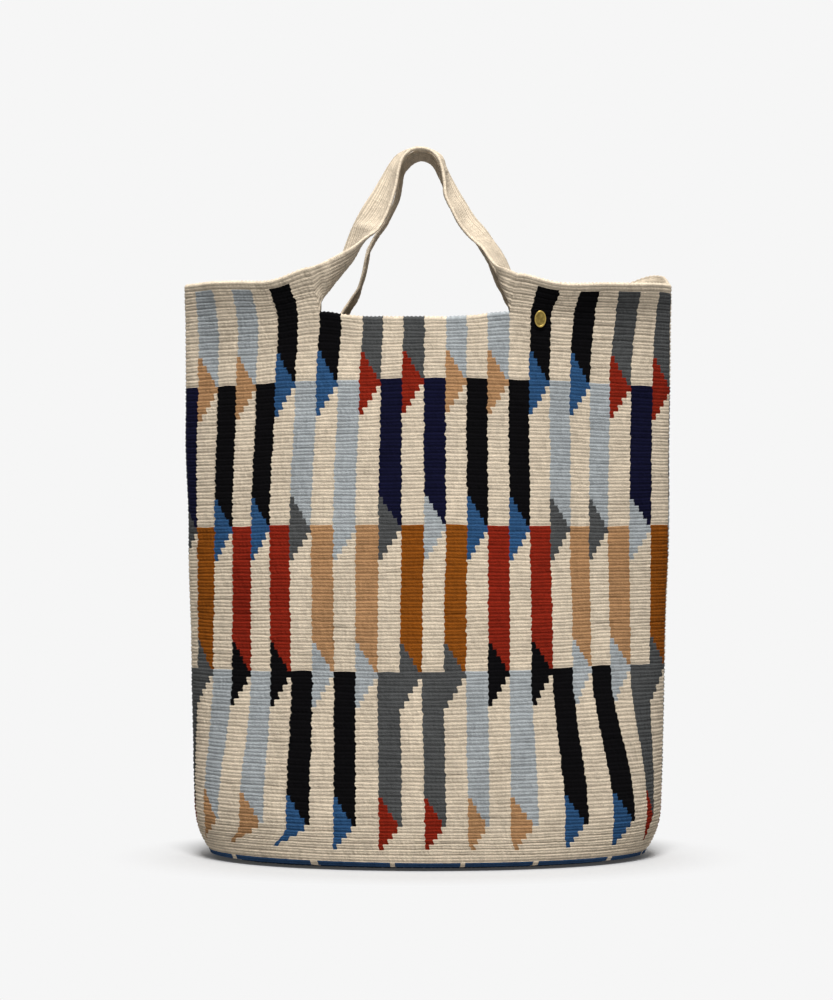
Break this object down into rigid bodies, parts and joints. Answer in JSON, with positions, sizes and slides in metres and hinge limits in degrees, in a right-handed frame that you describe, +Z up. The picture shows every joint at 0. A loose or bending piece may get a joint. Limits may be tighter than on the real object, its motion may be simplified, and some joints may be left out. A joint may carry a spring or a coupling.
{
  "type": "crocheted tote bag",
  "caption": "Tall oval tapestry-crochet tote bag with handle straps worked into the top band and a small brass tag.",
  "frame": {"origin": "middle of the base's underside, at the bottom centre of the bounding box", "axes": "+Z up, the longest extent; +X along the bag's width, to the right seen from the front; the front with the tag faces -Y, and Y is the shortest extent"},
  "size_m": [0.367, 0.1653, 0.5325],
  "materials": {
    "crocheted_cotton": "matt crocheted cotton",
    "brass": "satin, slightly aged"
  },
  "bodies": {
    "root": {"crocheted_bag": "crocheted_cotton", "brass_tag": "brass"}
  },
  "joints": []
}
